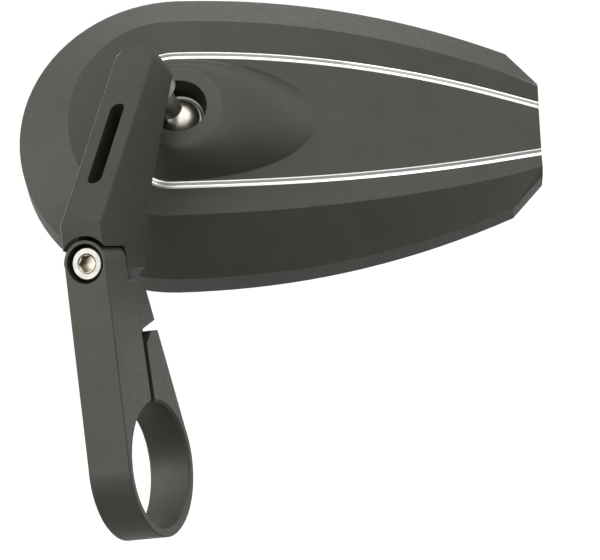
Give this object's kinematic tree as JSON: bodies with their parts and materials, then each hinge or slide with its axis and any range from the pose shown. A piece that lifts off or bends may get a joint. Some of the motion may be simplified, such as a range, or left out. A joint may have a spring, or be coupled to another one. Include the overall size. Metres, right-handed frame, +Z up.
{
  "type": "motorcycle bar end mirror",
  "caption": "Handlebar mirror with a split clamp arm, a folding slotted upper arm and a ball-jointed teardrop head in black anodised aluminium.",
  "frame": {"origin": "centre of the clamp bore", "axes": "+X along the handlebar bore, +Z up the lower arm to the elbow, -Y the side of the elbow screw's head"},
  "size_m": [0.136, 0.1213, 0.1445],
  "materials": {
    "anodised": "fine bead-blasted black anodising, satin",
    "stainless": "bright turned stainless steel",
    "black_steel": "blackened screw steel, dull",
    "steel": "plain zinc-plated steel",
    "polymer": "natural acetal",
    "foam": "black closed-cell foam tape",
    "rubber": "black rubber",
    "mirror": "polished convex mirror glass"
  },
  "bodies": {
    "lower_arm": {"clamp_arm": "anodised", "clamp_screw": "black_steel", "pivot_washer": "steel"},
    "upper_arm": {"upper_arm": "anodised", "pivot_screw": "stainless"},
    "stud": {"ball_stud": "stainless"},
    "liner": {"ball_liner": "polymer"},
    "head": {"mirror_housing": "anodised", "pressure_cup": "steel", "disc_spring_1": "steel", "disc_spring_2": "steel", "retaining_plate": "steel", "plate_screw_1": "black_steel", "plate_screw_2": "black_steel", "plate_screw_3": "black_steel", "plate_screw_4": "black_steel", "adhesive_pad": "foam", "mirror_glass": "mirror", "glass_gasket": "rubber"}
  },
  "joints": [
    {"name": "elbow", "type": "hinge", "parent": "lower_arm", "child": "upper_arm", "pos_m": [0, 0, 0.052], "axis": [0, 1, 0], "range_deg": [-60, 60]},
    {"name": "ball_swivel", "type": "hinge", "parent": "upper_arm", "child": "stud", "pos_m": [0, 0.04798, 0.08949], "axis": [0, 0.8192, -0.5736], "range_deg": [-20, 20]},
    {"name": "ball_tilt", "type": "hinge", "parent": "stud", "child": "liner", "pos_m": [0, 0.04798, 0.08949], "axis": [-0.374, -0.532, -0.7597], "range_deg": [-1, 46]},
    {"name": "ball_roll", "type": "hinge", "parent": "liner", "child": "head", "pos_m": [0, 0.04798, 0.08949], "axis": [0.3624, -0.8378, 0.4083], "range_deg": [-15, 20]}
  ]
}
